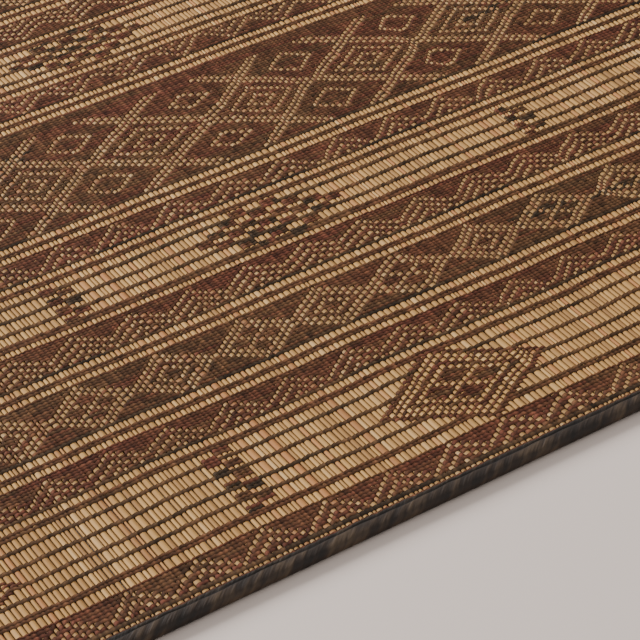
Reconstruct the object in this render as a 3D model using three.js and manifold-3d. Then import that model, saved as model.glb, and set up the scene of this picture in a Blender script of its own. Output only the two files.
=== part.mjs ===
// A woven mat of thin reeds and leather strips, bound on its four sides in rolled leather.
// Millimetres. X runs along the leather strips, Y along the reeds and Z up.
// The origin is on the floor, under the middle of the mat.
import * as THREE from "three";
import { mergeVertices } from "three/addons/utils/BufferGeometryUtils.js";
import Module from "manifold-3d";

const wasm = await Module();
wasm.setup();

// The mat's length over its rolled edges, along the leather strips.
const matLength = 1000;

// Heights in the weave, above its own underside.
const reedTop = 2.4;
const leatherRelief = 0.45; // how far woven leather stands above the bare reeds
const fieldTop = reedTop + leatherRelief;
const rampWidth = 0.3; // the slope at each side of a leather stripe

// The stripes from the seam at the front edge to the middle line, which mirrors them.
// Each row is a stripe of woven leather and the bare reeds that follow it, in widths.
const stripes = [
  { name: "zigzags at the edge", leather: 24.3, reeds: 5.8 },
  { name: "broad line", leather: 3.5, reeds: 7.2 },
  { name: "line", leather: 2.0, reeds: 6.5 },
  { name: "line", leather: 2.0, reeds: 8.0 },
  { name: "line", leather: 2.0, reeds: 7.5 },
  { name: "line", leather: 2.0, reeds: 5.8 },
  { name: "broad line", leather: 3.7, reeds: 4.0 },
  { name: "second zigzags", leather: 19.5, reeds: 3.8 },
  { name: "broad line", leather: 3.5, reeds: 4.2 },
  { name: "row of diamonds", leather: 34.3, reeds: 3.5 },
  { name: "broad line", leather: 3.5, reeds: 4.2 },
  { name: "third zigzags", leather: 22.4, reeds: 3.6 },
  { name: "broad line", leather: 4.0, reeds: 6.3 },
  { name: "line", leather: 1.8, reeds: 7.2 },
  { name: "line", leather: 1.8, reeds: 7.7 },
  { name: "line", leather: 2.0, reeds: 5.0 },
  { name: "broad line", leather: 3.0, reeds: 4.0 },
  { name: "fourth zigzags", leather: 18.0, reeds: 3.8 },
  { name: "broad line", leather: 3.2, reeds: 4.0 },
  { name: "half of the middle field", leather: 43.7, reeds: 0 },
];

// The figures woven on the wider stretches of bare reeds. Each row gives its outline, the
// distance of its middle from the seam, half its sizes along X and Y, and the X of its copies.
const figures = [
  { outline: "diamond", fromSeam: 52.6, halfX: 41.6, halfY: 24.6, at: [-247, 5, 257] },
  { outline: "diamond", fromSeam: 203.8, halfX: 35, halfY: 17.6, at: [-247, 5, 257] },
  { outline: "block", fromSeam: 55.4, halfX: 7.8, halfY: 21.4, at: [-356, -104, 149, 401] },
  { outline: "block", fromSeam: 203.8, halfX: 7.8, halfY: 15.9, at: [-356, -104, 149, 401] },
];
const figureRelief = leatherRelief - 0.05;

// The binding is a strip of leather, rolled round the mat's edge and sewn through it.
// Its raw edges lie flat on the mat past the seam, as a lip above and a lip below.
const rollWidth = 6.0; // from the seam to the outer edge
const rollHeight = 5.2;
const rollFlat = 0.15; // pressed off its height by the floor
const rollSquareness = 2.4; // exponent of its outline: 2 is an ellipse, more is squarer
const rollSides = 18;
const lipWidth = 2.2;
const lipThickness = 0.5;
const clearance = 0.3; // between the mat and the leather round it, and at the mitred corners
const tuckedEdge = 3.6; // how far the mat reaches past the seam, inside the roll

// The roll is thicker than the mat, so the mat rises from the floor to the roll's middle.
const rollMiddle = rollHeight / 2 - rollFlat;
const edgeLift = rollMiddle - fieldTop / 2;
const liftReach = 22; // from the seam to where the mat lies flat
const liftSteps = 5;

const seamY = stripes.reduce((sum, row) => sum + row.leather + row.reeds, 0);
const seamX = matLength / 2 - rollWidth;
const fieldX = seamX + tuckedEdge;
const fieldY = seamY + tuckedEdge;

const straw = { color: "#8b6c52", roughness: 0.75, metalness: 0 };
const darkLeather = { color: "#33241d", roughness: 0.5, metalness: 0 };

// How high the mat's underside is at a distance inside the seam: a smooth step to the floor.
function liftAt(inside) {
  const t = THREE.MathUtils.clamp((liftReach - inside) / (liftReach - lipWidth), 0, 1);
  return edgeLift * t * t * (3 - 2 * t);
}

// Places across the mat where its lift changes, from one edge to the opposite one.
function liftStations(edge, seam) {
  const near = [-edge];
  for (let i = 0; i <= liftSteps; i++) {
    near.push(-seam + lipWidth + (i / liftSteps) * (liftReach - lipWidth));
  }
  return [...near, ...near.map((place) => -place).reverse()];
}

// The mat's upper side from the front edge to the back one, flat but for the leather's relief.
function upperSide() {
  const front = [{ y: -fieldY, z: fieldTop }];
  let y = -seamY;
  for (const { leather, reeds } of stripes) {
    y += leather;
    if (reeds === 0) continue;
    front.push({ y: y - rampWidth / 2, z: fieldTop });
    front.push({ y: y + rampWidth / 2, z: reedTop });
    y += reeds;
    front.push({ y: y - rampWidth / 2, z: reedTop });
    front.push({ y: y + rampWidth / 2, z: fieldTop });
  }
  const back = front.map((point) => ({ y: -point.y, z: point.z })).reverse();
  return [...front, ...back];
}

// The same line with a point more at each given place that has none near it.
function withPlaces(line, places) {
  const points = [...line];
  for (const y of places) {
    if (points.some((point) => Math.abs(point.y - y) < rampWidth)) continue;
    const next = points.findIndex((point) => point.y > y);
    const [before, after] = [points[next - 1], points[next]];
    const share = (y - before.y) / (after.y - before.y);
    points.splice(next, 0, { y, z: THREE.MathUtils.lerp(before.z, after.z, share) });
  }
  return points;
}

// Extrudes a section of y and z through numbered stations. placeOf gives each point's place
// from its station's number and its y and z in the section.
function extrudeThrough(section, stationCount, placeOf) {
  const shape = new THREE.Shape(section.map(({ y, z }) => new THREE.Vector2(y, z)));
  const steps = stationCount - 1;
  const geometry = new THREE.ExtrudeGeometry(shape, { depth: steps, steps, bevelEnabled: false });
  const positions = geometry.getAttribute("position");
  for (let i = 0; i < positions.count; i++) {
    const station = Math.round(positions.getZ(i));
    positions.setXYZ(i, ...placeOf(station, positions.getX(i), positions.getY(i)));
  }
  return geometry;
}

// A closed geometry as a solid that can be joined with others.
function solidOf(geometry) {
  const bare = geometry.clone();
  bare.deleteAttribute("normal");
  bare.deleteAttribute("uv");
  const merged = mergeVertices(bare);
  const vertProperties = new Float32Array(merged.getAttribute("position").array);
  const triVerts = new Uint32Array(merged.getIndex().array);
  return new wasm.Manifold(new wasm.Mesh({ numProp: 3, vertProperties, triVerts }));
}

// A solid's surface as a geometry with flat faces.
function geometryOf(solid) {
  const mesh = solid.getMesh();
  const geometry = new THREE.BufferGeometry();
  geometry.setAttribute("position", new THREE.BufferAttribute(mesh.vertProperties, mesh.numProp));
  geometry.setIndex(new THREE.BufferAttribute(mesh.triVerts, 1));
  const flat = geometry.toNonIndexed();
  flat.computeVertexNormals();
  return flat;
}

// One woven figure in relief, from inside the mat to its own top, centred on x and y.
function figureRaised({ outline, halfX, halfY }, x, y) {
  const corners = {
    diamond: [[-halfX, 0], [0, -halfY], [halfX, 0], [0, halfY]],
    block: [[-halfX, -halfY], [halfX, -halfY], [halfX, halfY], [-halfX, halfY]],
  };
  const shape = new THREE.Shape(corners[outline].map(([dx, dy]) => new THREE.Vector2(dx, dy)));
  const depth = reedTop / 2 + figureRelief;
  const geometry = new THREE.ExtrudeGeometry(shape, { depth, bevelEnabled: false });
  return geometry.translate(x, y, reedTop / 2);
}

// The reeds with the leather woven through them, as one sheet: every stripe and figure of
// leather stands in relief, and the mat's four edges rise into the rolls.
function wovenField() {
  const stations = liftStations(fieldX, seamX);
  const places = liftStations(fieldY, seamY);
  const underside = places.map((y) => ({ y, z: 0 }));
  const section = [...underside, ...withPlaces(upperSide(), places).reverse()];
  const sheet = extrudeThrough(section, stations.length, (station, y, z) => {
    const x = stations[station];
    const lift = Math.max(liftAt(seamX - Math.abs(x)), liftAt(seamY - Math.abs(y)));
    return [x, y, z + lift];
  });
  let field = solidOf(sheet);
  for (const figure of figures) {
    const y = seamY - figure.fromSeam;
    for (const x of figure.at) {
      field = field.add(solidOf(figureRaised(figure, x, -y)));
      field = field.add(solidOf(figureRaised(figure, x, y)));
    }
  }
  return geometryOf(field);
}

// The binding's section: y is the distance outwards from the seam and z the height. From the
// lower lip it goes round the roll to the upper lip, then round the slot that holds the mat.
function bindingSection() {
  const slot = fieldTop / 2 + clearance;
  const neck = slot + lipThickness;
  const neckShare = (2 * neck) / rollHeight;
  const spread = (1 - neckShare ** rollSquareness) ** (1 / rollSquareness);
  const halfWidth = rollWidth / (1 + spread);
  const power = 2 / rollSquareness;
  const start = Math.atan2(neckShare ** (1 / power), -(spread ** (1 / power)));
  const section = [{ y: -lipWidth, z: rollMiddle - neck }];
  for (let i = 0; i <= rollSides; i++) {
    const angle = THREE.MathUtils.lerp(-start, start, i / rollSides);
    const across = Math.sign(Math.cos(angle)) * Math.abs(Math.cos(angle)) ** power;
    const up = Math.sign(Math.sin(angle)) * Math.abs(Math.sin(angle)) ** power;
    const z = rollMiddle + (up * rollHeight) / 2;
    section.push({ y: halfWidth * (spread + across), z: Math.max(z, 0) });
  }
  const slotEnd = tuckedEdge + clearance;
  section.push({ y: -lipWidth, z: rollMiddle + neck });
  section.push({ y: -lipWidth, z: rollMiddle + slot });
  section.push({ y: slotEnd, z: rollMiddle + slot });
  section.push({ y: slotEnd, z: rollMiddle - slot });
  section.push({ y: -lipWidth, z: rollMiddle - slot });
  return section;
}

// One side's binding, mitred at both ends. It lies along X, outwards along Y, and is turned
// about Z afterwards to its own side.
function binding(alongSeam, acrossSeam, turn) {
  const mitreBack = clearance / Math.SQRT2;
  const geometry = extrudeThrough(bindingSection(), 2, (station, y, z) => {
    const end = alongSeam + y - mitreBack;
    return [station === 0 ? -end : end, acrossSeam + y, z];
  });
  return geometry.rotateZ(turn);
}

function named(name, geometry, finish) {
  const mesh = new THREE.Mesh(geometry, new THREE.MeshStandardMaterial(finish));
  mesh.name = name;
  return mesh;
}

const mat = new THREE.Group();
mat.add(named("woven_field", wovenField(), straw));
mat.add(named("binding_back", binding(seamX, seamY, 0), darkLeather));
mat.add(named("binding_front", binding(seamX, seamY, Math.PI), darkLeather));
mat.add(named("binding_left", binding(seamY, seamX, Math.PI / 2), darkLeather));
mat.add(named("binding_right", binding(seamY, seamX, -Math.PI / 2), darkLeather));

export default mat;
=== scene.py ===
import math

import bpy
import mathutils
import numpy as np
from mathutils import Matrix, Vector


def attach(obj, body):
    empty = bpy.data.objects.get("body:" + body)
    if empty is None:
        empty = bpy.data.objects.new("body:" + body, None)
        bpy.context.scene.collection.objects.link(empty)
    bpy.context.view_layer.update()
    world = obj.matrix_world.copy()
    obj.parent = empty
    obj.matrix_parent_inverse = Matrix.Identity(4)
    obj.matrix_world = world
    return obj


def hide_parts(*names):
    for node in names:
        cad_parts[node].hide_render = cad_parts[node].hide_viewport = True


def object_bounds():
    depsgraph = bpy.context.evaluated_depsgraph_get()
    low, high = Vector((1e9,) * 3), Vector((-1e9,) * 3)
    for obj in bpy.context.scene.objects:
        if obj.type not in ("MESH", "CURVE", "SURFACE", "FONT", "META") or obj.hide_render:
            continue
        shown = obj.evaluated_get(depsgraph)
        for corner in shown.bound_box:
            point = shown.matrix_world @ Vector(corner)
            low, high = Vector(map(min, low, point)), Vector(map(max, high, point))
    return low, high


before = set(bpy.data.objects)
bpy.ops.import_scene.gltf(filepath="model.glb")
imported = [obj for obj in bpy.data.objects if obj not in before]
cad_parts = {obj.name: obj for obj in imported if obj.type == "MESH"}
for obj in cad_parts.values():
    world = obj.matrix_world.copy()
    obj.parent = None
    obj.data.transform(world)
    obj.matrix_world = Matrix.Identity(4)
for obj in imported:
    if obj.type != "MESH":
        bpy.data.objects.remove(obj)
cad_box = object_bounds()

MM = 0.001
rng = np.random.default_rng(7)

# The weave's own sizes, in millimetres.
REED_PITCH = 2.6
REED_TOP = 2.4           # crown of a bare reed above the floor
REED_HEIGHT = 2.0        # of a reed's own section
WEAVE_TOP = 2.85         # crown of the leather above the floor
STRIP_CAMBER = 0.33      # how far a strip's edges lie below its crown
STRIP_DIP = 0.5          # how far a strip sinks between two reeds that it crosses
STRIP_SLANT = 0.35       # how far a strip beside a dot moves along Y from its middle to a gap
SLANT_AT_SHOULDER = 0.7  # the share of that slant at the strip's shoulders
SPREAD_BY_DOT = -0.08    # how far a strip spreads over a dot beside it, less than 0 is back
SPREAD_ON_BARE = 0.14    # how far it spreads over the bare reeds beside it
SPREAD_IN_CHECKS = 0.4   # the same in a figure of checks, where nothing packs it
SPREAD_BY_SEAM_DOTS = 0.42  # for the row of dots at the seam
LOWEST = 0.03            # the least height of a strip above the floor
GAP_HEIGHT = 1.2         # where a strip goes down between two reeds
UNDER_HEIGHT = 0.3       # where it passes below a reed
SHOULDER = 0.72          # where it bends down, as a share of the reed's half width
SHOULDER_DROP = 0.3      # how far it has come down there

# The binding's sizes, in millimetres, as the solids have them but for the mitres.
ROLL_WIDTH = 6.0         # from the seam to the outer edge
ROLL_HEIGHT = 5.2
ROLL_FLAT = 0.15         # pressed off its height by the floor
ROLL_SQUARENESS = 2.4    # exponent of its outline: 2 is an ellipse, more is squarer
ROLL_POINTS = 19         # points of its outline
LIP_WIDTH = 2.2
LIP_THICKNESS = 0.5
CLEARANCE = 0.3          # between the mat and the leather round it
TUCKED_EDGE = 3.6        # how far the solid of the mat reaches past the seam
REED_TRIM = 0.5          # how much less far the reeds reach
MITRE_GAP = 0.1          # between two bindings at a corner
LIFT_REACH = 22.0        # from the seam to where the mat lies flat

# The frame gives the mat's outline: the seams lie inside it by the roll's width.
half_x = cad_box[1][0] / MM
half_y = cad_box[1][1] / MM
seam_x = half_x - ROLL_WIDTH
seam_y = half_y - ROLL_WIDTH
roll_middle = ROLL_HEIGHT / 2 - ROLL_FLAT
edge_lift = roll_middle - WEAVE_TOP / 2

# The stretches of the weave from the front seam to the middle field. A line or a bare
# stretch is (width, strips, woven), and a bare one's strips are there only in a figure.
PANEL_NEAR_EDGE = (
    (5.8, 3, False), (3.5, 2, True), (7.2, 4, False), (2.0, 1, True), (6.5, 4, False),
    (2.0, 1, True), (8.0, 5, False), (2.0, 1, True), (7.5, 4, False), (2.0, 1, True),
    (5.8, 3, False), (3.7, 2, True), (4.0, 2, False),
)
PANEL_NEAR_FIELD = (
    (3.6, 2, False), (4.0, 2, True), (6.3, 4, False), (1.8, 1, True), (7.2, 4, False),
    (1.8, 1, True), (7.7, 5, False), (2.0, 1, True), (5.0, 3, False), (3.0, 2, True),
    (4.0, 2, False),
)
# A dense band has its number of strips, the widths of its nearest and farthest strip, and
# its chart: the strip of a repeat's peak or middle, the repeat along X and the X of one
# repeat's middle, in millimetres. Its by_dot is how far a strip spreads over a dot beside
# it, and a panel's on_bare how far one spreads over the bare reeds.
BANDS = (
    dict(weave="zigzag", width=24.3, rows=12, near=1.2, far=1.1, first=4, peak=10,
         repeat=30.3, at=7.5, by_dot=0.1),
    dict(weave="panel", parts=PANEL_NEAR_EDGE),
    dict(weave="zigzag", width=19.5, rows=11, near=1.8, far=1.1, peak=8,
         repeat=29.5, at=6.3, by_dot=0.14),
    dict(weave="panel", parts=((3.8, 2, False), (3.5, 2, True), (4.2, 2, False))),
    dict(weave="diamonds", width=34.3, rows=18, near=2.0, far=1.5, middle=8,
         repeat=41.0, at=-7.5, by_dot=-0.05),
    dict(weave="panel", parts=((3.5, 2, False), (3.5, 2, True), (4.2, 2, False))),
    dict(weave="zigzag", width=22.4, rows=13, near=1.8, far=1.1, peak=10,
         repeat=30.6, at=6.3, by_dot=-0.05),
    dict(weave="panel", parts=PANEL_NEAR_FIELD, on_bare=0.42),
    dict(weave="zigzag", width=18.0, rows=9, near=1.8, far=1.1, peak=7,
         repeat=30.3, at=3.8, by_dot=0.12),
    dict(weave="panel", parts=((3.8, 2, False), (3.2, 2, True), (4.0, 2, False))),
)
FIELD = dict(weave="field", width=87.4, rows=45, near=2.0, far=2.0, middle=20,
             repeat=64.5, at=-9.3, by_dot=-0.06)
ALL_BANDS = (*BANDS, FIELD)
BACK_SHIFT = 11.0  # how far along X the back half's bands are from the front half's

# How dark each weave's leather is, from 0, near black, to 1, light red brown, and how much
# that changes from patch to patch.
DYES = {
    "zigzag": dict(dye=0.66, change=0.26),
    "diamonds": dict(dye=0.5, change=0.26),
    "field": dict(dye=0.58, change=0.34),
    "panel": dict(dye=0.5, change=0.14),
}

# The figures on the bare stretches: X of their copies, and their middle from the front seam.
NESTED_DIAMONDS_X = (-244.8, 7.2, 259.2)
CHECKED_DIAMONDS_X = (-249.5, 2.5, 254.5)
SMALL_CHECKS_X = (-355.5, -103.5, 149.5, 401.5)
NESTED_DIAMOND_Y = 52.6
CHECKED_DIAMOND_Y = 204.0
NESTED_BAND, CHECKED_BAND = 1, 7         # the bands that hold them
CHECK_REEDS = 3                          # reeds that a check is wide
CHECK_HEIGHT = 4.24
TALL_CHECK_HEIGHT = 4.65                 # in the checked diamonds
SMALL_CHECKS = ((55.0, 10), (204.0, 7))  # middle from the seam, and how many checks high
NESTED_LINES = (8, 11, 13)               # the nested diamond's bare lines, in steps
NESTED_EDGE = 15
FIELD_LINES = (3, 7, 11, 13)             # the same in the middle field

SEAM_STRIPS = 4  # strips at the seam that lie over every reed
SEAM_DOTS = 2    # but for this one, which every reed shows over

# How a strip crosses a reed, and which figure the crossing is part of.
BARE, OVER, UNDER = 0, 1, 2
NO_FIGURE, NESTED, CHECKED = 0, 1, 2

# Slow waves in the weave. A row is a wave's height, how far along X and how far along Y
# turn it by one radian, and its phase.
REED_WAVES = ((0.6, 75, 90, 0), (0.25, -40, 60, 0))
STRIP_WAVES = ((0.75, 20, 130, 3.385), (0.25, 9.3, 60, 0), (0.14, 4.6, 17, 0))
# The share of the strips' waves at each distance from the seam.
STRIP_CALM = (
    (3, 0), (22, 0.45), (52, 1), (92, 0.85), (122, 0.4), (187, 0.45), (207, 0.8), (227, 0.4),
    (300, 0.5),
)
# Waves of the binding. A row is a wave's height, how far along turns it by one radian, and
# its phase. The creases are drawn slanting across the roll.
CREASES = ((0.4, 1.1, 0), (0.4, 1.9, 1))
SWELLS = ((0.467, 11, 2),)
SEAM_WAVES = ((0.25, 7.3, 0), (0.16, 2.3, 1))
CREASE_DEPTH = 0.02  # as a share of the roll's size
CREASE_SLANT = 1.1   # how far a crease moves along the roll for its way round it

# A reed's section: places across and up, as shares of half its width and half its height,
# and how much of its colour it keeps there: less at its sides and underside, as painted shade.
REED_SECTION = (
    (-1, 0, 0.5), (-0.74, 0.68, 0.93), (0, 1, 1), (0.74, 0.68, 0.93), (1, 0, 0.5), (0, -1, 0.3),
)
# Where its section is repeated, from its end inwards, and then how far apart at most.
REED_STATIONS = (0, 5, 9, 13, 17, 21, 26)
REED_STATION_GAP = 45


def linear(colour):
    """An sRGB hex colour as linear red, green, blue and alpha."""
    values = np.array([int(colour[i:i + 2], 16) for i in (1, 3, 5)]) / 255
    low, high = values / 12.92, ((values + 0.055) / 1.055) ** 2.4
    return (*np.where(values <= 0.04045, low, high), 1.0)


def smooth_step(t):
    """Rises from 0 to 1 as t does, level at both ends: 3 t squared less 2 t cubed."""
    t = np.clip(t, 0, 1)
    return t * t * (3 - 2 * t)


def lift(x, y):
    """How far the mat is raised at its edges, to meet the middle of the rolls."""
    inside = np.minimum(seam_x - np.abs(x), seam_y - np.abs(y))
    return edge_lift * smooth_step((LIFT_REACH - inside) / (LIFT_REACH - LIP_WIDTH))


def waves(x, y, table):
    """The sum of a table's sine waves, each its height times the sine of x and y over its
    own two lengths, plus its phase."""
    return sum(
        height * np.sin(x / along_x + y / along_y + phase)
        for height, along_x, along_y, phase in table
    )


def ripples(place, table):
    """The sum of a table's sine waves along one line."""
    return sum(height * np.sin(place / along + phase) for height, along, phase in table)


def reed_drift(x, y):
    """Sideways drift of the reeds: two slow waves along Y, less near the seams."""
    calm_width = 40
    return smooth_step((seam_x - np.abs(x)) / calm_width) * waves(x, y, REED_WAVES)


def strip_waver(x, y):
    """How far the rows of leather waver along the reeds: waves along X, strongest in the
    bare panels, where nothing packs the rows, and less in the dense bands."""
    distances, shares = zip(*STRIP_CALM)
    return np.interp(seam_y - np.abs(y), distances, shares) * waves(x, y, STRIP_WAVES)


def row_widths(band):
    """The width of each strip of a band or panel, from the near side to the far one."""
    if band["weave"] == "panel":
        return np.concatenate([np.full(n, width / n) for width, n, _ in band["parts"]])
    inner = (band["width"] - band["near"] - band["far"]) / (band["rows"] - 2)
    return np.concatenate([[band["near"]], np.full(band["rows"] - 2, inner), [band["far"]]])


def from_repeat(x, band, shift):
    """For each reed, how many reeds away the middle of the nearest repeat of a band's chart
    is, and that repeat's number. A middle is the reed nearest to its place along X."""
    most = 20
    numbers = np.arange(-most, most + 1)
    places = band["at"] + shift + numbers * band["repeat"]
    beyond = 300
    reeds_beyond = beyond / REED_PITCH
    wide_x = np.concatenate([[x[0] - beyond], x, [x[-1] + beyond]])
    counts = np.arange(len(x)) + reeds_beyond
    wide_count = np.concatenate([[0], counts, [len(x) - 1 + 2 * reeds_beyond]])
    middles = np.round(np.interp(places, wide_x, wide_count) - reeds_beyond)
    away = np.abs(np.arange(len(x))[None, :] - middles[:, None])
    return away.min(axis=0).astype(int)[None, :], numbers[np.argmin(away, axis=0)][None, :]


def zigzag_chart(x, band, shift):
    """Lines of dots under each other, every third strip, that climb one strip a reed to a
    peak in each repeat and down again. There are none before the band's first strip that
    may have them."""
    rows = np.arange(band["rows"])[:, None]
    columns, _ = from_repeat(x, band, shift)
    below_peak = band["peak"] - rows - columns
    bare = (below_peak >= 0) & (below_peak % 3 == 0) & (rows >= band.get("first", 1))
    return np.where(bare, UNDER, OVER)


def diamonds_chart(x, band, shift):
    """Diamonds of two lines of dots, six and eight steps from their middle. Every other one
    holds a small diamond, three steps from it, and the rest hold a cross."""
    rows = np.arange(band["rows"])[:, None] - band["middle"]
    columns, number = from_repeat(x, band, shift)
    steps = columns + np.abs(rows)
    cross = (columns == np.abs(rows)) & (columns < 4)
    inner = np.where(number % 2 == 0, steps == 3, cross)
    chart = np.where(np.isin(steps, (6, 8)) | inner, UNDER, OVER)
    chart[0] = OVER
    return chart


def field_chart(x, band, shift):
    """Nested diamonds with lines of dots three, seven, eleven and thirteen steps from their
    middle. The outer two cross above and below, and small diamonds fill between them."""
    rows = np.arange(band["rows"])[:, None] - band["middle"]
    columns, _ = from_repeat(x, band, shift)
    half = round(band["repeat"] / REED_PITCH / 2)
    steps = columns + np.abs(rows)
    nested = np.isin(steps, FIELD_LINES)
    near_line, far_line = FIELD_LINES[-2:]
    beyond = np.abs(rows) - columns
    crossing = np.isin(beyond, (near_line, far_line)) & (np.abs(rows) < band["middle"])
    between = (half - columns) + np.abs(np.abs(rows) - near_line)
    inside = (steps <= far_line) | (beyond >= near_line)
    return np.where(nested | crossing | ((between == 4) & ~inside), UNDER, OVER)


CHARTS = {"zigzag": zigzag_chart, "diamonds": diamonds_chart, "field": field_chart}


def reeds_from(x, place):
    """How many reeds each reed is from the one that is nearest to a place along X."""
    return (np.arange(len(x)) - np.argmin(np.abs(x - place)))[None, :]


def nested_diamond(columns, rows):
    """A rhombus that ends at fifteen steps, with lines of dots eight, eleven and thirteen
    steps from its middle and a cross inside the first."""
    steps = np.abs(columns) + np.abs(rows)
    cross = (np.abs(columns) == np.abs(rows)) & (steps < NESTED_LINES[0])
    dots = np.isin(steps, NESTED_LINES) | cross
    return np.where(steps > NESTED_EDGE, BARE, np.where(dots, UNDER, OVER))


def checked_diamond(columns, up):
    """Blocks three reeds wide and one check high, every other one woven, out to four from
    the middle, and to three up or down."""
    across = np.floor((columns + CHECK_REEDS / 2) / CHECK_REEDS)
    high = np.round(up / TALL_CHECK_HEIGHT)
    near = (np.abs(across) + np.abs(high) <= 4) & (np.abs(high) <= 3)
    return np.where(near & ((across + high) % 2 == 0), OVER, BARE)


def check_column(columns, up, checks):
    """Two columns of blocks, each three reeds wide, woven by turns."""
    high = np.floor(up / CHECK_HEIGHT + checks / 2)
    side = np.floor(columns / CHECK_REEDS)
    there = (high >= 0) & (high < checks) & ((side == -1) | (side == 0))
    return np.where(there & ((side + high) % 2 != 0), OVER, BARE)


def half_chart(x, shift):
    """The strips of one half of the mat, from its seam inwards: the distance of each from
    the seam, its width, its band's number, how it crosses each reed, and which figure it is
    part of there."""
    widths, charts, band_of = [], [], []
    for number, band in enumerate(BANDS):
        wide = row_widths(band)
        if band["weave"] == "panel":
            parts = [np.full(n, OVER if woven else BARE) for _, n, woven in band["parts"]]
            chart = np.repeat(np.concatenate(parts)[:, None], len(x), axis=1)
        else:
            chart = CHARTS[band["weave"]](x, band, shift)
        widths.append(wide)
        charts.append(chart)
        band_of.append(np.full(len(wide), number))
    widths, band_of = np.concatenate(widths), np.concatenate(band_of)
    chart = np.concatenate(charts)
    from_seam = np.cumsum(widths) - widths / 2
    chart[:SEAM_STRIPS] = OVER
    chart[SEAM_DOTS] = UNDER
    figures = np.full(chart.shape, NO_FIGURE)

    for middle_x in NESTED_DIAMONDS_X:
        rows = np.arange(len(widths)) - np.argmin(np.abs(from_seam - NESTED_DIAMOND_Y))
        figure = nested_diamond(reeds_from(x, middle_x), rows[:, None])
        inside = (band_of == NESTED_BAND)[:, None] & (figure != BARE)
        chart = np.where(inside, figure, chart)
        figures = np.where(inside, NESTED, figures)
    for middle_x in CHECKED_DIAMONDS_X:
        up = (from_seam - CHECKED_DIAMOND_Y)[:, None]
        figure = checked_diamond(reeds_from(x, middle_x), up)
        inside = (band_of == CHECKED_BAND)[:, None] & (figure != BARE)
        chart = np.where(inside, figure, chart)
        figures = np.where(inside, CHECKED, figures)
    for middle_x in SMALL_CHECKS_X:
        for middle_y, checks in SMALL_CHECKS:
            up = (from_seam - middle_y)[:, None]
            figure = check_column(reeds_from(x, middle_x), up, checks)
            chart = np.where(figure != BARE, figure, chart)
            figures = np.where(figure != BARE, CHECKED, figures)
    return from_seam, widths, band_of, chart, figures


def reed_columns():
    """The edges of the reeds along X: uneven stems side by side from end to end."""
    length = 2 * (seam_x + TUCKED_EDGE - REED_TRIM)
    count = round(length / REED_PITCH)
    uneven, thinnest, thickest = 0.22, 0.6, 1.5
    wide = np.clip(rng.normal(1, uneven, count), thinnest, thickest)
    edges = np.concatenate([[0], np.cumsum(wide)])
    return edges / edges[-1] * length - length / 2


def make_piece(name, points, quads, values, material, flat_faces=0):
    """A smooth mesh of quads from arrays of points in millimetres, with one number for each
    point under every name in values. The last flat_faces of the quads are shaded flat."""
    mesh = bpy.data.meshes.new(name)
    mesh.vertices.add(len(points))
    mesh.vertices.foreach_set("co", (points * MM).astype(np.float32).ravel())
    mesh.loops.add(quads.size)
    mesh.loops.foreach_set("vertex_index", quads.astype(np.int32).ravel())
    mesh.polygons.add(len(quads))
    mesh.polygons.foreach_set("loop_start", np.arange(0, quads.size, 4, dtype=np.int32))
    mesh.polygons.foreach_set("use_smooth", np.arange(len(quads)) < len(quads) - flat_faces)
    for label, numbers in values.items():
        layer = mesh.attributes.new(label, "FLOAT", "POINT")
        layer.data.foreach_set("value", numbers.astype(np.float32).ravel())
    mesh.update(calc_edges=True)
    mesh.validate()
    piece = bpy.data.objects.new(name, mesh)
    bpy.context.scene.collection.objects.link(piece)
    mesh.materials.append(material)
    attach(piece, "root")
    return piece


# Materials

def add_node(tree, kind, inputs=None, **settings):
    """Adds a node with its settings. Each input is a value or another node's output."""
    node = tree.nodes.new(kind)
    for key, value in settings.items():
        setattr(node, key, value)
    for key, value in (inputs or {}).items():
        if isinstance(value, bpy.types.NodeSocket):
            tree.links.new(value, node.inputs[key])
        else:
            node.inputs[key].default_value = value
    return node


def new_material(name):
    """An empty node material and its output node."""
    material = bpy.data.materials.new(name)
    material.use_nodes = True
    material.node_tree.nodes.clear()
    output = add_node(material.node_tree, "ShaderNodeOutputMaterial")
    return material, material.node_tree, output


def set_ramp(node, stops):
    """Gives a colour ramp its stops, as places and sRGB hex colours."""
    ramp = node.color_ramp
    while len(ramp.elements) < len(stops):
        ramp.elements.new(0.5)
    for element, (place, colour) in zip(ramp.elements, stops):
        element.position = place
        element.color = linear(colour)
    return node.outputs["Color"]


def dense_band_shade_stops():
    """Stops for painted shade on the reeds, from the mat's middle to its seam: they are painted
    greyer in the dense bands, as shade from the leather close on both sides of each dot. Each
    band's two edges are blurred over 0.8 mm."""
    unshaded, band_shaded = "#ffffff", "#e0e2ec"
    widths = [row_widths(band).sum() for band in BANDS]
    inner = (seam_y - np.cumsum(widths)) / seam_y
    stops = [(0.0, band_shaded)]
    blur = 0.4 / seam_y
    for place, band in zip(inner[::-1], BANDS[::-1]):
        before = stops[-1][1]
        after = unshaded if band["weave"] == "panel" else band_shaded
        stops += [(place - blur, before), (place + blur, after)]
    return stops


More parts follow.
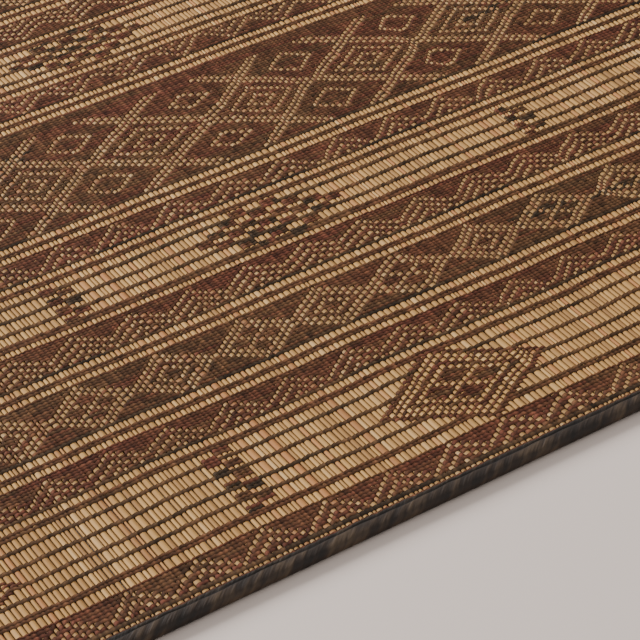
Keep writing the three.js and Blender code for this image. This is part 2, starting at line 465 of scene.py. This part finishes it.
def reed_material():
    """Dried grass stems, split from the plant and sun-bleached. To the eye: matt straw with
    fine fibres along each stem, no two stems quite alike, some pink, some grey."""
    material, tree, output = new_material("dried_grass_stems")
    place = add_node(tree, "ShaderNodeTexCoord").outputs["Object"]
    tone = add_node(tree, "ShaderNodeAttribute", attribute_name="tone").outputs["Fac"]
    blush = add_node(tree, "ShaderNodeAttribute", attribute_name="blush").outputs["Fac"]
    # Fibres 0.4 mm wide and 14 mm long, and blotches 3 mm wide and 35 mm long.
    fibre_scale = (1 / 0.0004, 1 / 0.014, 1 / 0.0004)
    fibre_place = add_node(tree, "ShaderNodeMapping", {"Vector": place, "Scale": fibre_scale})
    fibres = add_node(
        tree, "ShaderNodeTexNoise",
        {"Vector": fibre_place.outputs["Vector"], "Scale": 1.0, "Detail": 3.0},
    )
    blotch_scale = (1 / 0.003, 1 / 0.035, 1 / 0.003)
    blotch_place = add_node(tree, "ShaderNodeMapping", {"Vector": place, "Scale": blotch_scale})
    blotches = add_node(
        tree, "ShaderNodeTexNoise",
        {"Vector": blotch_place.outputs["Vector"], "Scale": 1.0, "Detail": 2.0},
    )
    mixed = add_node(
        tree, "ShaderNodeMath", {0: fibres.outputs["Fac"], 1: 0.35, 2: -0.175},
        operation="MULTIPLY_ADD",
    )
    spread = add_node(
        tree, "ShaderNodeMath", {0: blotches.outputs["Fac"], 1: 0.5, 2: -0.25},
        operation="MULTIPLY_ADD",
    )
    both = add_node(
        tree, "ShaderNodeMath", {0: mixed.outputs[0], 1: spread.outputs[0]}, operation="ADD",
    )
    level = add_node(tree, "ShaderNodeMath", {0: both.outputs[0], 1: tone}, operation="ADD")
    ramp = add_node(tree, "ShaderNodeValToRGB", {"Fac": level.outputs[0]})
    straws = ((0.0, "#7b583b"), (0.35, "#a17848"), (0.65, "#bc9158"), (1.0, "#d3ae7c"))
    straw = set_ramp(ramp, straws)
    pink = add_node(
        tree, "ShaderNodeMix", {"Factor": blush, 6: straw, 7: linear("#b5744a")},
        data_type="RGBA", blend_type="MIX",
    )
    # Painted shade: each stem's sides and underside are darker, by its section's third column.
    unshaded = add_node(tree, "ShaderNodeAttribute", attribute_name="unshaded").outputs["Fac"]
    # Painted shade: the stems are painted greyer in the dense bands, by their distance from the
    # middle.
    along = add_node(tree, "ShaderNodeSeparateXYZ", {"Vector": place}).outputs["Y"]
    from_middle = add_node(tree, "ShaderNodeMath", {0: along}, operation="ABSOLUTE").outputs[0]
    share = add_node(
        tree, "ShaderNodeMath", {0: from_middle, 1: seam_y * MM}, operation="DIVIDE",
    )
    band_shade = add_node(tree, "ShaderNodeValToRGB", {"Fac": share.outputs[0]})
    band_shaded = add_node(
        tree, "ShaderNodeVectorMath", {0: pink.outputs[2], 1: set_ramp(band_shade, dense_band_shade_stops())},
        operation="MULTIPLY",
    )
    colour = add_node(
        tree, "ShaderNodeVectorMath", {0: band_shaded.outputs[0], "Scale": unshaded}, operation="SCALE",
    )
    shader = add_node(
        tree, "ShaderNodeBsdfPrincipled",
        {"Base Color": colour.outputs[0], "Roughness": 0.7, "Specular IOR Level": 0.15},
    )
    bump = add_node(
        tree, "ShaderNodeBump",
        {"Height": fibres.outputs["Fac"], "Strength": 0.35, "Distance": 0.0001},
    )
    tree.links.new(bump.outputs["Normal"], shader.inputs["Normal"])
    tree.links.new(shader.outputs[0], output.inputs["Surface"])
    return material


def strip_material():
    """Goat leather, plant-dyed and cut into thongs about 2 mm wide. To the eye: matt browns
    from near black to red brown that change from thong to thong, with painted highlight on
    the crowns and painted shade in the gaps and at the edges."""
    material, tree, output = new_material("dyed_goat_leather_thongs")
    place = add_node(tree, "ShaderNodeTexCoord").outputs["Object"]
    dye = add_node(tree, "ShaderNodeAttribute", attribute_name="dye").outputs["Fac"]
    worn = add_node(tree, "ShaderNodeAttribute", attribute_name="worn").outputs["Fac"]
    # The grain, 0.9 mm, is drawn coarser than goat leather's own so that it shows.
    grain = add_node(
        tree, "ShaderNodeTexNoise", {"Vector": place, "Scale": 1 / 0.0009, "Detail": 3.0},
    )
    ramp = add_node(tree, "ShaderNodeValToRGB", {"Fac": dye})
    browns = (
        (0.0, "#261f19"), (0.2, "#533e2a"), (0.4, "#67482f"), (0.6, "#6b442e"),
        (0.8, "#683a2b"), (1.0, "#885b40"),
    )
    brown = set_ramp(ramp, browns)
    shade = add_node(
        tree, "ShaderNodeMath", {0: grain.outputs["Fac"], 1: 0.9, 2: 0.3},
        operation="MULTIPLY_ADD",
    )
    # The colour is scaled by the grain and by the points' painted highlight and painted shade.
    rubbed = add_node(
        tree, "ShaderNodeMath", {0: shade.outputs[0], 1: worn}, operation="MULTIPLY",
    )
    colour = add_node(
        tree, "ShaderNodeVectorMath", {0: brown, "Scale": rubbed.outputs[0]}, operation="SCALE",
    )
    shader = add_node(
        tree, "ShaderNodeBsdfPrincipled",
        {"Base Color": colour.outputs[0], "Roughness": 0.8, "Specular IOR Level": 0.13},
    )
    bump = add_node(
        tree, "ShaderNodeBump",
        {"Height": grain.outputs["Fac"], "Strength": 0.4, "Distance": 0.0002},
    )
    tree.links.new(bump.outputs["Normal"], shader.inputs["Normal"])
    tree.links.new(shader.outputs[0], output.inputs["Surface"])
    return material


def binding_material():
    """Thicker goat leather, dyed near black, rolled and rubbed with fat. To the eye: dark
    grey brown with a soft sheen, fine grain and faint creases slanting across the roll, with
    painted highlight on the creases and patches of painted sheen."""
    material, tree, output = new_material("rolled_black_goat_leather")
    place = add_node(tree, "ShaderNodeTexCoord").outputs["Object"]
    grain = add_node(
        tree, "ShaderNodeTexNoise", {"Vector": place, "Scale": 1 / 0.0007, "Detail": 4.0},
    )
    along = add_node(tree, "ShaderNodeAttribute", attribute_name="along").outputs["Fac"]
    around = add_node(tree, "ShaderNodeAttribute", attribute_name="around").outputs["Fac"]
    slanted = add_node(
        tree, "ShaderNodeMath", {0: around, 1: CREASE_SLANT, 2: along}, operation="MULTIPLY_ADD",
    )
    crease_place = add_node(tree, "ShaderNodeCombineXYZ", {"X": slanted.outputs[0], "Y": around})
    # Creases 4 mm apart and 16 mm long, and patches 16 mm across, both painted lighter as painted
    # highlight and painted sheen.
    crease_scale = (1 / 0.004, 1 / 0.016, 1)
    crease_size = add_node(
        tree, "ShaderNodeMapping", {"Vector": crease_place.outputs[0], "Scale": crease_scale},
    )
    creases = add_node(
        tree, "ShaderNodeTexNoise",
        {"Vector": crease_size.outputs[0], "Scale": 1.0, "Detail": 2.0},
    )
    sheen_patches = add_node(
        tree, "ShaderNodeTexNoise", {"Vector": place, "Scale": 1 / 0.016, "Detail": 4.0},
    )
    blend = add_node(
        tree, "ShaderNodeMix",
        {"Factor": 0.5, 2: sheen_patches.outputs["Fac"], 3: creases.outputs["Fac"]},
        data_type="FLOAT",
    )
    # Painted highlight: the colour is lighter on the creases and in the patches.
    ramp = add_node(tree, "ShaderNodeValToRGB", {"Fac": blend.outputs[0]})
    dark = set_ramp(ramp, ((0.38, "#18100b"), (0.5, "#281c13"), (0.62, "#463728")))
    # Painted shade from the points: darker lips and a near black groove.
    worn = add_node(tree, "ShaderNodeAttribute", attribute_name="worn").outputs["Fac"]
    colour = add_node(
        tree, "ShaderNodeVectorMath", {0: dark, "Scale": worn}, operation="SCALE",
    )
    shader = add_node(
        tree, "ShaderNodeBsdfPrincipled",
        {"Base Color": colour.outputs[0], "Roughness": 0.5, "Specular IOR Level": 0.34},
    )
    folds = add_node(
        tree, "ShaderNodeBump",
        {"Height": creases.outputs["Fac"], "Strength": 0.9, "Distance": 0.001},
    )
    bump = add_node(
        tree, "ShaderNodeBump",
        {"Height": grain.outputs["Fac"], "Strength": 0.5, "Distance": 0.00015,
         "Normal": folds.outputs["Normal"]},
    )
    tree.links.new(bump.outputs["Normal"], shader.inputs["Normal"])
    tree.links.new(shader.outputs[0], output.inputs["Surface"])
    return material


def floor_material():
    """Painted board, warm pale grey. To the eye: even and matt."""
    material, tree, output = new_material("pale_floor_paint")
    shader = add_node(
        tree, "ShaderNodeBsdfPrincipled", {"Base Color": linear("#dbccc3"), "Roughness": 0.8},
    )
    tree.links.new(shader.outputs[0], output.inputs["Surface"])
    return material


# The weave

def make_reeds(edges, material):
    """The reeds as joined closed stems. Each is a six-sided section, rounded above and
    tapered below, carried along Y through stations that are closer where the mat lifts."""
    wide = np.diff(edges)
    middle = (edges[1:] + edges[:-1]) / 2
    wide_gap, gap = 0.45, 0.1
    half = (wide - np.where(rng.random(len(wide)) < 0.06, wide_gap, gap)) / 2
    top = REED_TOP + np.clip(rng.normal(0, 0.03, len(wide)), -0.06, 0.05)
    across, up, unshaded_at = np.array(REED_SECTION).T
    near = seam_y + TUCKED_EDGE - REED_TRIM - np.array(REED_STATIONS)
    last_inner = near[-1] - REED_STATION_GAP
    inner = np.linspace(-last_inner, last_inner, 10)
    stations = np.concatenate([-near, inner, near[::-1]])
    shape = (len(wide), len(stations), len(across))
    x = np.broadcast_to(middle[:, None, None] + half[:, None, None] * across, shape)
    y = np.broadcast_to(stations[None, :, None], shape)
    x = x + reed_drift(x, y)
    belly = (top - REED_HEIGHT / 2)[:, None, None]
    z = belly + up * REED_HEIGHT / 2 + lift(x, y)
    points = np.stack([x, y, z], axis=-1).reshape(-1, 3)
    index = np.arange(len(points)).reshape(shape)
    side = np.roll(index, -1, axis=2)
    quads = np.stack([index[:, :-1], index[:, 1:], side[:, 1:], side[:, :-1]], axis=-1)
    # Each end is closed by two quads, one on each side of the section's middle.
    left, right = [0, 1, 2, 5], [5, 2, 3, 4]
    first, last = index[:, 0], index[:, -1]
    caps = [first[:, left], first[:, right], last[:, left[::-1]], last[:, right[::-1]]]
    quads = np.concatenate([quads.reshape(-1, 4), *caps])[:, ::-1]
    # Stems differ in tone, a few are pale and some blush pink.
    tone = np.clip(rng.normal(0.53, 0.12, len(wide)), 0.25, 0.75)
    tone = np.where(rng.random(len(wide)) < 0.02, 0.78, tone)
    blush = np.where(rng.random(len(wide)) < 0.14, rng.uniform(0.2, 0.6, len(wide)), 0)
    copies = len(stations) * len(across)
    # The section's third column darkens each stem's sides and underside as painted shade.
    values = {
        "tone": np.repeat(tone, copies),
        "blush": np.repeat(blush, copies),
        "unshaded": np.broadcast_to(unshaded_at, shape),
    }
    return make_piece("reeds", points, quads, values, material)


def patchwork(rows, columns, tall, long):
    """Random numbers in blocks, tall strips by long reeds, each row's joints shifted."""
    coarse = rng.random((rows // tall + 2, columns // long + 3))
    row = (np.arange(rows) + rng.integers(0, tall)) // tall
    shift = rng.integers(0, long, rows)
    column = (np.arange(columns)[None, :] + shift[:, None]) // long
    return coarse[row[:, None], column]


def dye_chart(band_of, figures, near_black, lone):
    """The dye of each crossing, from 0, near black, to 1, light red brown: the band's own
    brown, changed from patch to patch and thong to thong, near black at each dense band's
    near edge, darker in a line of one strip and mixed in a figure of checks."""
    rows, columns = figures.shape
    own = np.array([DYES[b["weave"]]["dye"] for b in ALL_BANDS])[band_of]
    change = np.array([DYES[b["weave"]]["change"] for b in ALL_BANDS])[band_of][:, None]
    dye = own[:, None] + change * (patchwork(rows, columns, 5, 22) - 0.5)
    dye += change * (patchwork(rows, columns, 1, 34) - 0.5)
    dye = dye - 0.17 * lone[:, None]
    nested = figures == NESTED
    dye = dye + 0.13 * nested + 0.3 * nested * (patchwork(rows, columns, 2, 5) - 0.5)
    # A few small blocks of a near black thong, in the diamonds and the middle field.
    blotted = np.array([b["weave"] in ("diamonds", "field") for b in ALL_BANDS])[band_of]
    dark_block = (patchwork(rows, columns, 3, 9) < 0.02) & blotted[:, None]
    dye = np.where(dark_block, 0.12, dye)
    # A check is dyed as one, a quarter of them near black.
    checks = rng.random((rows // 2 + 1, columns // CHECK_REEDS + 1))
    check = checks[(np.arange(rows) // 2)[:, None], np.arange(columns) // CHECK_REEDS]
    check_dye = np.where(check < 0.25, 0.12, 0.3 + 0.55 * check)
    dye = np.where(figures == CHECKED, check_dye, dye)
    edge_dye = 0.06 + 0.25 * patchwork(rows, columns, 1, 14)
    return np.clip(np.where(near_black[:, None], edge_dye, dye), 0, 1)


def neighbours(array):
    """The rows before and after each row of an array, with none past its ends."""
    empty = np.zeros((1, array.shape[1]))
    return np.concatenate([empty, array[:-1]]), np.concatenate([array[1:], empty])


def make_strips(edges, y_of, width_of, by_dot_of, on_bare_of, chart, figures, dye):
    """The leather strips as joined ribbons, three points across. Along each reed's width a
    strip has up to four points: in the gap, at two shoulders and over the crown. It rides
    over a reed, sinks a little between two of them, or dives beneath one that shows."""
    rows, columns = chart.shape
    middle = (edges[1:] + edges[:-1]) / 2
    half = np.diff(edges) / 2
    none = np.zeros((rows, 1), dtype=chart.dtype)
    before = np.concatenate([none, chart[:, :-1]], axis=1)
    after = np.concatenate([chart[:, 1:], none], axis=1)
    over, there = chart == OVER, chart != BARE

    # Slots along a reed: 0 the gap before it, 1 and 3 the shoulders, 2 the crown.
    shape = (rows, columns + 1, 4)
    keep = np.zeros(shape, dtype=bool)
    keep[:, :-1, 0] = there | (before != BARE)
    keep[:, -1, 0] = there[:, -1]
    keep[:, :-1, 1] = over & (before != OVER)
    keep[:, :-1, 2] = there
    keep[:, :-1, 3] = over & (after != OVER)

    x = np.zeros(shape)
    x[:, :, 0] = edges
    x[:, :-1, 1] = middle - SHOULDER * half
    x[:, :-1, 2] = middle
    x[:, :-1, 3] = middle + SHOULDER * half

    z = np.full(shape, GAP_HEIGHT)
    both_over = over & (before == OVER)
    both_under = (chart == UNDER) & (before == UNDER)
    z[:, :-1, 0] = np.where(both_over, WEAVE_TOP - STRIP_DIP, GAP_HEIGHT)
    z[:, :-1, 0] = np.where(both_under, UNDER_HEIGHT, z[:, :-1, 0])
    z[:, :-1, [1, 3]] = WEAVE_TOP - SHOULDER_DROP
    uneven = rng.normal(0, 0.06, (rows, columns))
    z[:, :-1, 2] = np.where(over, WEAVE_TOP, UNDER_HEIGHT) + uneven

    # A strip spreads over the reeds that show beside it: past a dot by its band's own
    # amount, and onto a bare stretch more, most of all where nothing packs a figure's checks.
    dots_below, dots_above = neighbours((chart == UNDER) * by_dot_of[:, None])
    bare_below, bare_above = neighbours((chart == BARE) * 1.0)
    on_bare = np.where(figures == CHECKED, SPREAD_IN_CHECKS, on_bare_of[:, None])
    near_spread, far_spread = np.zeros(shape), np.zeros(shape)
    near_spread[:, :-1, :] = ((dots_below + bare_below * on_bare) * over)[:, :, None]
    far_spread[:, :-1, :] = ((dots_above + bare_above * on_bare) * over)[:, :, None]

    # The strips cross the reeds on a slant, which shows in the ends of each dot.
    dot_below, dot_above = neighbours((chart == UNDER) * 1.0)
    beside = (dot_below + dot_above > 0) & over
    slant = np.zeros(shape)
    slant[:, :-1, 0] -= STRIP_SLANT * beside
    slant[:, 1:, 0] += STRIP_SLANT * beside
    slant[:, :-1, 1] = -SLANT_AT_SHOULDER * STRIP_SLANT * beside
    slant[:, :-1, 3] = SLANT_AT_SHOULDER * STRIP_SLANT * beside

    # It is narrower where it dives, and a strip beside a bare stretch lies less straight.
    dives = z < WEAVE_TOP - STRIP_DIP - 0.2
    wide = width_of[:, None, None] / 2 * np.where(dives, 0.75, 1.0)
    loose = 0.045 + 0.07 * (np.roll(chart[:, 0], -1) == BARE)
    jitter = loose[:, None] * rng.normal(0, 1, (rows, columns + 1))
    y = y_of[:, None, None] + jitter[:, :, None] + slant

    # Painted highlight on the leather's crowns and painted shade in the gaps between the reeds,
    # times tone that differs at random from crossing to crossing and from reed to reed.
    rubbed = np.full(shape, 0.9)
    rubbed[:, :, 0] = 0.55
    rubbed[:, :-1, 2] = 1.2
    by_crossing = np.clip(rng.normal(1, 0.24, (rows, columns + 1)), 0.5, 1.7)
    by_reed = np.clip(rng.normal(1, 0.1, columns + 1), 0.75, 1.3)
    rubbed = rubbed * by_crossing[:, :, None] * by_reed[None, :, None]

    # The points that are there, with the near edge, the crown and the far edge of each.
    y, wide = y[keep], wide[keep]
    near_spread, far_spread = near_spread[keep], far_spread[keep]
    crown = y + (far_spread - near_spread) / 2
    across = np.stack([y - wide - near_spread, crown, y + wide + far_spread], axis=1)
    x = np.repeat(x[keep][:, None], 3, axis=1)
    place_y = across + strip_waver(x, across)
    place_x = x + reed_drift(x, place_y)
    camber = np.array([STRIP_CAMBER, 0, STRIP_CAMBER])
    height = np.maximum(z[keep][:, None] - camber, LOWEST) + lift(place_x, place_y)
    points = np.stack([place_x, place_y, height], axis=-1).reshape(-1, 3)

    # Two quads join each point's three to the next point's, where a strip goes on.
    keep_flat = keep.reshape(rows, -1)
    row_index = np.broadcast_to(np.arange(rows)[:, None], keep_flat.shape)[keep_flat]
    goes_on = np.concatenate([there, np.zeros((rows, 1), dtype=bool)], axis=1)
    goes_on = np.broadcast_to(goes_on[:, :, None], shape)[keep]
    start = np.flatnonzero(goes_on[:-1] & (row_index[1:] == row_index[:-1]))
    a = start * 3
    b = a + 3
    quads = np.concatenate([
        np.stack([a, b, b + 1, a + 1], axis=1),
        np.stack([a + 1, b + 1, b + 2, a + 2], axis=1),
    ])
    dye_all = np.concatenate([dye, dye[:, -1:]], axis=1)
    dyes = np.broadcast_to(dye_all[:, :, None], shape)[keep]
    # Painted shade at each strip's near and far edge, painted highlight along its crown.
    painted_light_across = np.array([0.5, 1.1, 0.5])
    worn = (rubbed[keep][:, None] * painted_light_across).ravel()
    values = {"dye": np.repeat(dyes, 3), "worn": worn}
    quad_row = np.concatenate([row_index[start], row_index[start]])
    return points, quads, values, quad_row


def split_pieces(points, quads, values, quad_row, count, material):
    """Splits the ribbons by rows into pieces with about as many faces each."""
    order = np.argsort(quad_row, kind="stable")
    quads, quad_row = quads[order], quad_row[order]
    evenly = np.linspace(0, len(quads) - 1, count + 1).astype(int)
    bounds = np.searchsorted(quad_row, quad_row[evenly])
    bounds[-1] = len(quads)
    pieces = []
    for number in range(count):
        own = quads[bounds[number]:bounds[number + 1]]
        used, place = np.unique(own, return_inverse=True)
        own = place.reshape(own.shape)
        own_values = {label: numbers[used] for label, numbers in values.items()}
        name = f"leather_strips_{number + 1}"
        pieces.append(make_piece(name, points[used], own, own_values, material))
    return pieces


# The binding

def binding_section():
    """The binding's outline, as distance outwards from the seam and height: round the roll
    by a squared ellipse, down into the groove of the seam, over the upper lip, round the
    slot and to the lower lip's end."""
    slot = WEAVE_TOP / 2 + CLEARANCE
    neck = slot + LIP_THICKNESS
    share = 2 * neck / ROLL_HEIGHT
    spread = (1 - share ** ROLL_SQUARENESS) ** (1 / ROLL_SQUARENESS)
    half = ROLL_WIDTH / (1 + spread)
    power = 2 / ROLL_SQUARENESS
    start = math.atan2(share ** (1 / power), -(spread ** (1 / power)))
    angle = np.linspace(-start, start, ROLL_POINTS)
    out = half * (spread + np.sign(np.cos(angle)) * np.abs(np.cos(angle)) ** power)
    up = np.sign(np.sin(angle)) * np.abs(np.sin(angle)) ** power * ROLL_HEIGHT / 2
    end = TUCKED_EDGE + CLEARANCE
    inner = (
        (-0.25, neck - 0.35), (-0.6, neck - 0.05), (-LIP_WIDTH * 0.85, neck - 0.05),
        (-LIP_WIDTH, neck - 0.35), (-LIP_WIDTH, slot), (end, slot), (end, -slot),
        (-LIP_WIDTH, -slot), (-LIP_WIDTH, -neck),
    )
    inner_out, inner_up = np.array(inner).T
    out, up = np.concatenate([out, inner_out]), np.concatenate([up, inner_up])
    return out, np.maximum(roll_middle + up, 0)


def end_cap():
    """The quads that close a binding's end, by points of its section: fans round the
    slot's four corners to the roll and the lips."""
    first_of_lip = ROLL_POINTS + 3
    lip_top, slot_top, top_end, low_end, slot_low, lip_low = range(first_of_lip, first_of_lip + 6)
    half_way, last = 8, ROLL_POINTS - 1
    return np.array([
        (low_end, slot_low, lip_low, 0),
        *[(low_end, k, k + 1, k + 2) for k in range(0, half_way, 2)],
        (low_end, half_way, half_way + 1, top_end),
        *[(top_end, k, k + 1, k + 2) for k in range(half_way + 1, last - 1, 2)],
        (top_end, last - 1, last, slot_top),
        (slot_top, last, last + 1, last + 2),
        (slot_top, last + 2, last + 3, lip_top),
    ])


def make_binding(name, along, outwards, turn, material):
    """One side's binding: its section carried along the seam, mitred at both ends, with
    creases across the roll where the leather was drawn round each reed."""
    out, up = binding_section()
    around = np.cumsum(np.hypot(np.diff(out, prepend=out[0]), np.diff(up, prepend=up[0])))
    roll = np.arange(len(out)) < ROLL_POINTS
    station_gap = 2.4
    steps = round(2 * along / station_gap)
    share = np.linspace(-1, 1, steps + 1)[:, None]
    x = share * (along + out[None, :] - MITRE_GAP / math.sqrt(2))

    # The roll is a little thinner by its creases, and the mitred ends are left as they are.
    calm_length = 6
    calm = smooth_step((1 - np.abs(share)) * along / calm_length)
    creases = ripples(x + CREASE_SLANT * around, CREASES) + ripples(x, SWELLS)
    shrink = 1 - CREASE_DEPTH * roll * (1 + creases) * calm
    middle_out = ROLL_WIDTH / 2
    wide = middle_out + (out[None, :] - middle_out) * shrink
    off_floor = up[None, :] > 0.5
    high = roll_middle + (up[None, :] - roll_middle) * np.where(off_floor, shrink, 1)

    # The groove of the seam wanders, and the lip's cut edge is ragged.
    wide = wide + np.where(np.abs(out) < 0.5, calm * ripples(x, SEAM_WAVES), 0)
    ragged = np.clip(rng.normal(0, 0.16, (steps + 1, 1)), -0.3, 0.3) * calm
    lip_edge = (out < -LIP_WIDTH * 0.8) & (up > roll_middle)
    across = outwards + wide + np.where(lip_edge, ragged, 0)

    cos, sin = math.cos(turn), math.sin(turn)
    points = np.stack([x * cos - across * sin, x * sin + across * cos, high], axis=-1)
    index = np.arange(x.size).reshape(x.shape)
    side = np.roll(index, -1, axis=1)
    quads = np.stack([index[:-1], index[1:], side[1:], side[:-1]], axis=-1).reshape(-1, 4)
    cap = end_cap()
    quads = np.concatenate([quads, index[0][cap], index[-1][cap[:, ::-1]]])[:, ::-1]

    # The roll keeps its colour, while painted shade darkens the lips and turns the groove near
    # black.
    worn = np.where(roll, 1.0, 0.55)
    worn[ROLL_POINTS - 1:ROLL_POINTS + 1] = 0.5, 0.06
    values = {
        "along": x * MM,
        "around": np.broadcast_to(around, x.shape) * MM,
        "worn": np.broadcast_to(worn, x.shape),
    }
    flat_faces = 2 * len(cap)
    points = points.reshape(-1, 3)
    return make_piece(name, points, quads, values, material, flat_faces)


# The mat: the front half's strips, the middle field's and the back half's, which mirrors
# the front but for its own repeats along X.

edges = reed_columns()
middles = (edges[1:] + edges[:-1]) / 2
front = half_chart(middles, 0.0)
back = half_chart(middles, BACK_SHIFT)
field_widths = row_widths(FIELD)
field_rows = field_chart(middles, FIELD, 0.0)
field_y = -field_widths.sum() / 2 + np.cumsum(field_widths) - field_widths / 2
field = (
    field_y, field_widths, np.full(len(field_y), len(BANDS)), field_rows,
    np.full(field_rows.shape, NO_FIGURE),
)
front = (-seam_y + front[0], *front[1:])
back = [rows[::-1] for rows in (seam_y - back[0], *back[1:])]
strip_y, strip_widths, band_of, chart, figures = map(np.concatenate, zip(front, field, back))

# A dense band's near strip is near black, and so is the one past the seam's dots.
dense = np.array([band["weave"] != "panel" for band in ALL_BANDS])[band_of]
near_black = np.concatenate([[False], band_of[1:] != band_of[:-1]]) & dense
near_black[[SEAM_DOTS + 1, -SEAM_DOTS - 2]] = True
woven_through = (chart != BARE).mean(axis=1) > 0.5
lone = woven_through & ~np.roll(woven_through, 1) & ~np.roll(woven_through, -1)
dye = dye_chart(band_of, figures, near_black, lone)
by_dot = np.array([band.get("by_dot", SPREAD_BY_DOT) for band in ALL_BANDS])[band_of]
by_dot[[SEAM_DOTS, -SEAM_DOTS - 1]] = SPREAD_BY_SEAM_DOTS
on_bare = np.array([band.get("on_bare", SPREAD_ON_BARE) for band in ALL_BANDS])[band_of]

reeds = make_reeds(edges, reed_material())
ribbons = make_strips(edges, strip_y, strip_widths, by_dot, on_bare, chart, figures, dye)
strips = split_pieces(*ribbons, 5, strip_material())
binding_leather = binding_material()
bindings = [
    make_binding("rolled_binding_back", seam_x, seam_y, 0, binding_leather),
    make_binding("rolled_binding_front", seam_x, seam_y, math.pi, binding_leather),
    make_binding("rolled_binding_left", seam_y, seam_x, math.pi / 2, binding_leather),
    make_binding("rolled_binding_right", seam_y, seam_x, -math.pi / 2, binding_leather),
]
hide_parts("woven_field")
for piece, side in zip(bindings, ("back", "front", "left", "right")):
    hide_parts(f"binding_{side}")

# Floor, lights and camera

reach = 4
floor_corners = [(-reach, -reach, 0), (reach, -reach, 0), (reach, reach, 0), (-reach, reach, 0)]
floor_mesh = bpy.data.meshes.new("floor")
floor_mesh.from_pydata(floor_corners, [], [(0, 1, 2, 3)])
floor_mesh.materials.append(floor_material())
floor = bpy.data.objects.new("floor", floor_mesh)
bpy.context.scene.collection.objects.link(floor)


def add_light(name, place, size, power):
    """A square soft light that faces the mat's middle, the origin."""
    light = bpy.data.lights.new(name, "AREA")
    light.size = size
    light.energy = power
    lamp = bpy.data.objects.new(name, light)
    bpy.context.scene.collection.objects.link(lamp)
    lamp.location = place
    x, y, z = place
    yaw = math.atan2(-y, -x) - math.pi / 2
    pitch = math.atan2(math.hypot(x, y), z)
    lamp.rotation_euler = (pitch, 0, yaw)


add_light("window", (-1.5, 2.2, 1.2), size=1.1, power=195)
add_light("fill", (0.4, -2.4, 2.2), size=2.5, power=8)
world = bpy.data.worlds.new("studio")
world.use_nodes = True
world.node_tree.nodes["Background"].inputs["Color"].default_value = linear("#f4f1ee")
world.node_tree.nodes["Background"].inputs["Strength"].default_value = 0.66
bpy.context.scene.world = world

# The camera stands at the front left, where the photograph was taken from.
CAMERA_PLACE = (-468.7, -944.8, 674.7)
CAMERA_YAW, CAMERA_PITCH, CAMERA_ROLL = (math.radians(a) for a in (30.33, 37.07, -3.64))
right = np.array([math.cos(CAMERA_YAW), -math.sin(CAMERA_YAW), 0])
level = np.array([math.sin(CAMERA_YAW), math.cos(CAMERA_YAW), 0])
down = -math.sin(CAMERA_PITCH) * level - np.array([0, 0, math.cos(CAMERA_PITCH)])
forward = math.cos(CAMERA_PITCH) * level - np.array([0, 0, math.sin(CAMERA_PITCH)])
image_right = math.cos(CAMERA_ROLL) * right - math.sin(CAMERA_ROLL) * down
image_down = math.sin(CAMERA_ROLL) * right + math.cos(CAMERA_ROLL) * down

camera_data = bpy.data.cameras.new("camera")
camera_data.sensor_width = 36
camera_data.lens = 141.9
camera = bpy.data.objects.new("camera", camera_data)
bpy.context.scene.collection.objects.link(camera)
turned = mathutils.Matrix((image_right, -image_down, -forward)).transposed().to_4x4()
turned.translation = [value * MM for value in CAMERA_PLACE]
camera.matrix_world = turned
bpy.context.scene.camera = camera
